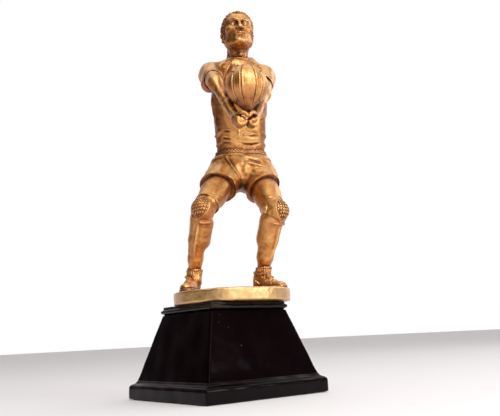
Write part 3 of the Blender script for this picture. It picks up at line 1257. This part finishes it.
def gold(name, pale=0.0):
    """Metallic gold paint over cast resin: brown in the hollows, rubbed pale on the ridges."""
    m = Nodes(bpy.data.materials.new(name))
    hollow = m.node("ShaderNodeAttribute", attribute_name="hollow",
                    attribute_type="GEOMETRY").outputs["Fac"]
    grain, cloud, patch = m.noise(2600, 4, 0.65), m.noise(210, 4), m.noise(70, 3)
    uneven = m.math("MULTIPLY", m.math("SUBTRACT", cloud, 0.5), 0.5)
    depth = m.math("ADD", hollow, uneven)
    tone = m.ramp(m.span(depth, -0.5, 0.85), (0.0, (0.94, 0.63, 0.29)), (0.28, (0.82, 0.47, 0.15)),
                  (0.46, (0.62, 0.262, 0.062)), (0.68, (0.34, 0.105, 0.022)),
                  (1.0, (0.08, 0.022, 0.006)))
    tone = m.blend(m.span(patch, 0.45, 0.75, 0, 0.45), tone, (0.60, 0.22, 0.05))
    tone = m.blend(m.span(grain, 0.55, 0.75, 0, 0.35), tone, (1.0, 0.80, 0.45))
    tone = m.blend(m.span(grain, 0.40, 0.28, 0, 0.55), tone, (0.30, 0.12, 0.03))
    if pale:
        tone = m.blend(pale, tone, (1.0, 0.86, 0.48))
    m.set(Base_Color=tone, Metallic=0.95, Coat_Weight=0.5, Coat_Roughness=0.26, Coat_IOR=1.6)
    rough = m.math("ADD", m.span(grain, 0.3, 0.7, 0.31, 0.47),
                   m.span(depth, 0.1, 0.8, 0, 0.25))
    m.set(Roughness=rough)
    pits = m.span(m.cells(420), 0.05, 0.35)
    m.bump((0.09, grain), (0.16, m.noise(620, 4, 0.6)), (0.06, pits), (0.16, cloud))
    return m.owner


def black(name, gloss):
    """Gloss black paint over an uneven casting, with a few dust specks and pinholes."""
    m = Nodes(bpy.data.materials.new(name))
    cloud, fine = m.noise(45, 4), m.noise(1500, 3, 0.7)
    tone = m.blend(m.span(cloud, 0.45, 0.72), (0.0030, 0.0010, 0.0014), (0.0050, 0.0020, 0.0024))
    speck = m.span(m.cells(230), 0.10, 0.05, 0, 0.9)
    rare = m.math("MULTIPLY", speck, m.span(m.noise(90, 2), 0.60, 0.66))
    tone = m.blend(rare, tone, (0.22, 0.15, 0.12))
    m.set(Base_Color=tone, Roughness=m.span(fine, 0.3, 0.75, 0.10, 0.22), Specular_IOR_Level=gloss)
    m.bump((0.03, fine), (0.04, m.noise(170, 3)), (0.12, m.noise(48, 3)), (-0.12, rare))
    return m.owner


def steel(name, zinc=0.0):
    """Plain or zinc-plated steel, with turning marks round the Z axis."""
    m = Nodes(bpy.data.materials.new(name))
    scratch = m.node("ShaderNodeMapping", {"Vector": m.place(), "Scale": (1, 1, 14)})
    marks = m.noise(900, 3, 0.7, scratch.outputs[0])
    cloud = m.noise(260, 3)
    tone = m.blend(cloud, (0.42, 0.43, 0.45), (0.60, 0.60 - zinc, 0.60 - 2 * zinc))
    m.set(Base_Color=tone, Metallic=1.0, Roughness=m.span(marks, 0.3, 0.7, 0.22, 0.45))
    m.bump((0.03, marks))
    return m.owner


def board_material():
    """Brown hardboard: matted wood fibres."""
    m = Nodes(bpy.data.materials.new("hardboard"))
    long = m.node("ShaderNodeMapping", {"Vector": m.place(), "Scale": (1, 7, 7)})
    fibres = m.noise(420, 5, 0.7, long.outputs[0])
    tone = m.ramp(fibres, (0.3, (0.10, 0.055, 0.028)), (0.5, (0.19, 0.11, 0.055)),
                  (0.72, (0.34, 0.22, 0.12)))
    m.set(Base_Color=tone, Roughness=m.span(m.noise(900, 3), 0.3, 0.7, 0.62, 0.85))
    m.bump((0.10, fibres))
    return m.owner


def felt_material():
    """Black-green felt: pressed wool fibres."""
    m = Nodes(bpy.data.materials.new("felt"))
    fuzz, knots = m.noise(3200, 5, 0.75), m.cells(900)
    tone = m.ramp(fuzz, (0.3, (0.006, 0.010, 0.008)), (0.6, (0.020, 0.030, 0.025)),
                  (0.8, (0.075, 0.09, 0.08)))
    m.set(Base_Color=tone, Roughness=m.span(fuzz, 0.3, 0.7, 0.85, 1.0), Sheen_Weight=0.35,
          Sheen_Roughness=0.6)
    m.bump((0.25, fuzz), (0.12, knots))
    return m.owner


def card_material():
    m = Nodes(bpy.data.materials.new("floor_card"))
    m.set(Base_Color=(0.90, 0.90, 0.91, 1), Roughness=0.9)
    return m.owner


# ---- the castings
GOLD = gold("gold_paint")
GOLD_DISC = gold("disc_gold_paint", 0.25)
BLACK = {"plinth_foot": black("foot_black_paint", 0.12), "plinth_body": black("black_paint", 0.03),
         "plinth_cap": black("cap_black_paint", 0.28)}

CLAYS = {"jersey": jersey(), "shorts": shorts(), "head": head(), "clasped_hands": hands(),
         "ball": ball()}
for hand_side in JOINTS:
    CLAYS[f"{hand_side}_arm"] = arm(hand_side)
    CLAYS[f"{hand_side}_leg"] = leg(hand_side)
    CLAYS[f"{hand_side}_knee_pad"] = knee_pad(hand_side)
    CLAYS[f"{hand_side}_shoe"] = shoe(hand_side)

CLAYS["disc_base"] = disc()
VOXELS = {"jersey": 0.55, "shorts": 0.5, "head": 0.36, "clasped_hands": 0.36, "ball": 0.5,
          "disc_base": 0.9, "arm": 0.5, "leg": 0.55, "knee_pad": 0.42, "shoe": 0.38}
NEIGHBOURS = {
    "jersey": ["shorts", "head", "right_arm", "left_arm", "ball", "clasped_hands"],
    "shorts": ["jersey", "right_leg", "left_leg"],
    "head": ["jersey"], "clasped_hands": ["ball"],
    "ball": ["clasped_hands", "right_arm", "left_arm"],
    "disc_base": ["right_shoe", "left_shoe"],
    "arm": ["jersey", "clasped_hands", "ball"], "leg": ["shorts", "knee_pad", "shoe"],
    "knee_pad": ["leg"], "shoe": ["leg", "disc_base"],
}

for clay_name, clay in CLAYS.items():
    own_side, _, kind = clay_name.partition("_")
    if own_side not in JOINTS:
        kind = clay_name
    beside = [CLAYS.get(n) or CLAYS[f"{own_side}_{n}"] for n in NEIGHBOURS[kind]]
    cast(clay_name, clay, VOXELS[kind], GOLD_DISC if kind == "disc_base" else GOLD, others=beside)

for plinth_name, (plinth_clay, plinth_size) in plinth().items():
    cast(plinth_name, plinth_clay, plinth_size, BLACK[plinth_name], place=upright)


# ---- felt
FELT_STEPS = 40  # faces along a side
FELT_EDGE, FELT_LIFT = 0.25 * MM, 0.04 * MM  # how far its edges are rounded, and its face uneven


def felt_pad():
    """A square of felt laid under the board: soft edges, and a face pressed a little uneven."""
    low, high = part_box("felt_pad")
    count = FELT_STEPS
    mesh = bmesh.new()
    random = np.random.default_rng(9)
    rows = []
    for layer, z in ((0, low.z), (1, high.z)):
        grid = []
        for i in range(count + 1):
            for j in range(count + 1):
                u, v = i / count, j / count
                edge = min(i, j, count - i, count - j) == 0
                lift = random.uniform(-FELT_LIFT, FELT_LIFT) * layer
                if edge:
                    lift = -FELT_EDGE if layer else FELT_EDGE
                grid.append(mesh.verts.new((low.x + (high.x - low.x) * u,
                                            low.y + (high.y - low.y) * v, z + lift)))
        rows.append(grid)
    for layer, grid in enumerate(rows):
        for i in range(count):
            for j in range(count):
                a = i * (count + 1) + j
                quad = [grid[a], grid[a + count + 1], grid[a + count + 2], grid[a + 1]]
                mesh.faces.new(quad if layer else quad[::-1])
    rim = [e for e in mesh.edges if e.is_boundary]
    bmesh.ops.bridge_loops(mesh, edges=rim)
    bmesh.ops.recalc_face_normals(mesh, faces=mesh.faces)
    data = bpy.data.meshes.new("felt_square")
    mesh.to_mesh(data)
    mesh.free()
    for face in data.polygons:
        face.use_smooth = True
    piece = new_object("felt_square", data)
    data.materials.append(felt_material())
    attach(piece, "root")
    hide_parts("felt_pad")
    return piece


felt_pad()

# ---- CAD nodes that stay
PLAIN_STEEL, ZINC_STEEL = steel("plain_steel"), steel("zinc_steel", 0.05)
KEPT = {"bottom_board": board_material()}
for node_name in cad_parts:
    if node_name.endswith("_pin") or node_name == "tie_rod":
        KEPT[node_name] = PLAIN_STEEL
    elif node_name.startswith(("board_screw", "rod_")):
        KEPT[node_name] = ZINC_STEEL
for node_name, finish in KEPT.items():
    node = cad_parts[node_name]
    if not node.material_slots:
        node.data.materials.append(finish)
    for material_slot in node.material_slots:
        material_slot.material = finish

# ---- floor, light and camera
VIEW_FROM = Vector((-0.2921, -0.4142, 0.0407))
VIEW_HEADING = math.radians(37.88)  # from +Y towards +X
VIEW_PITCH = math.radians(10.95)
VIEW_ROLL = math.radians(-2.92)
LENS, SENSOR = 48.26, 36  # mm
NEAR_CLIP = 0.01


def look(heading, pitch, roll=0.0):
    """The axes of a camera: rows right, up and back."""
    ahead = Vector((math.sin(heading) * math.cos(pitch), math.cos(heading) * math.cos(pitch),
                    math.sin(pitch)))
    right = ahead.cross(Vector((0, 0, 1))).normalized()
    up = right.cross(ahead)
    return (right * math.cos(roll) + up * math.sin(roll),
            up * math.cos(roll) - right * math.sin(roll), -ahead)


def turned(axes, place):
    matrix = Matrix((axes[0], axes[1], axes[2])).transposed().to_4x4()
    matrix.translation = place
    return matrix


camera_data = bpy.data.cameras.new("camera")
camera_data.lens = LENS
camera_data.sensor_width = SENSOR
camera_data.clip_start = NEAR_CLIP
camera = new_object("camera", camera_data)
camera.matrix_world = turned(look(VIEW_HEADING, VIEW_PITCH, VIEW_ROLL), VIEW_FROM)
bpy.context.scene.camera = camera


FLOOR_HALF = 6.0


def add_floor():
    """A pale sheet of card: flat under the object."""
    mesh = bpy.data.meshes.new("floor")
    r = FLOOR_HALF
    mesh.from_pydata([(-r, -r, 0), (r, -r, 0), (r, r, 0), (-r, r, 0)], [], [(0, 1, 2, 3)])
    floor = new_object("floor", mesh)
    mesh.materials.append(card_material())


add_floor()


LIT_POINT = Vector((0, 0, 0.18))
# name, place, size, watts, colour
LIGHTS = [
    ("window", (-0.40, -0.80, 0.86), (0.5, 0.5), 5.6, (1.0, 0.99, 0.97)),
    ("side_window", (0.34, -0.94, 0.34), (0.5, 0.3), 3.2, (0.97, 0.99, 1.0)),
    ("right", (0.95, -0.2, 0.75), (0.7, 0.5), 1.8, (1.0, 0.97, 0.93)),
    ("behind_camera", (-0.50, -0.98, 0.32), (0.2, 0.2), 2.0, (1.0, 0.99, 0.97)),
]
for light_name, place, size, watts, colour in LIGHTS:
    light = bpy.data.lights.new(light_name, "AREA")
    light.shape = "RECTANGLE"
    light.size, light.size_y = size
    light.energy = watts
    light.color = colour
    lamp = new_object(light_name, light)
    lamp.location = place
    lamp.rotation_euler = (LIT_POINT - Vector(place)).to_track_quat("-Z", "Y").to_euler()

# the room's light: tones along a direction, from -1 behind to 1 ahead of it
ROOM_TONES = [(-1, (0.045, 0.020, 0.010)), (-0.3, (0.025, 0.011, 0.005)),
              (0.15, (0.06, 0.035, 0.022)), (0.5, (0.20, 0.19, 0.185)), (1, (0.30, 0.29, 0.29))]
BACK_TONES = [(0.3, (0, 0, 0)), (0.6, (0.42, 0.38, 0.42)), (1, (0.95, 0.90, 0.98))]
CEILING_TONES = [(0.68, (0, 0, 0)), (0.9, (0.95, 0.93, 0.90))]
CEILING_GAIN = 1.05


def studio_world():
    """Pale walls behind the object, a dimmer room before it, and a bright ceiling. The camera
    itself sees white."""
    world = bpy.data.worlds.new("studio")
    bpy.context.scene.world = world
    m = Nodes(world)
    way = m.node("ShaderNodeTexCoord").outputs["Generated"]

    def tones(direction, stops):
        dot = m.node("ShaderNodeVectorMath", {0: way, 1: direction}, operation="DOT_PRODUCT")
        return m.ramp(m.span(dot.outputs["Value"], -1, 1),
                      *[((position + 1) / 2, colour) for position, colour in stops])

    ahead = (math.sin(VIEW_HEADING), math.cos(VIEW_HEADING), 0)
    room = tones((ahead[1], -ahead[0], 0), ROOM_TONES)
    walls = m.node("ShaderNodeVectorMath", {0: room, 1: tones(ahead, BACK_TONES)})
    total = m.node("ShaderNodeVectorMath", {0: tones((0, 0, 1), CEILING_TONES),
                                            1: (CEILING_GAIN,) * 3, 2: walls},
                   operation="MULTIPLY_ADD")
    by_camera = m.node("ShaderNodeLightPath").outputs["Is Camera Ray"]
    m.set(Color=m.blend(by_camera, total, (1, 1, 1)))


studio_world()
bpy.context.scene.view_settings.view_transform = "Standard"
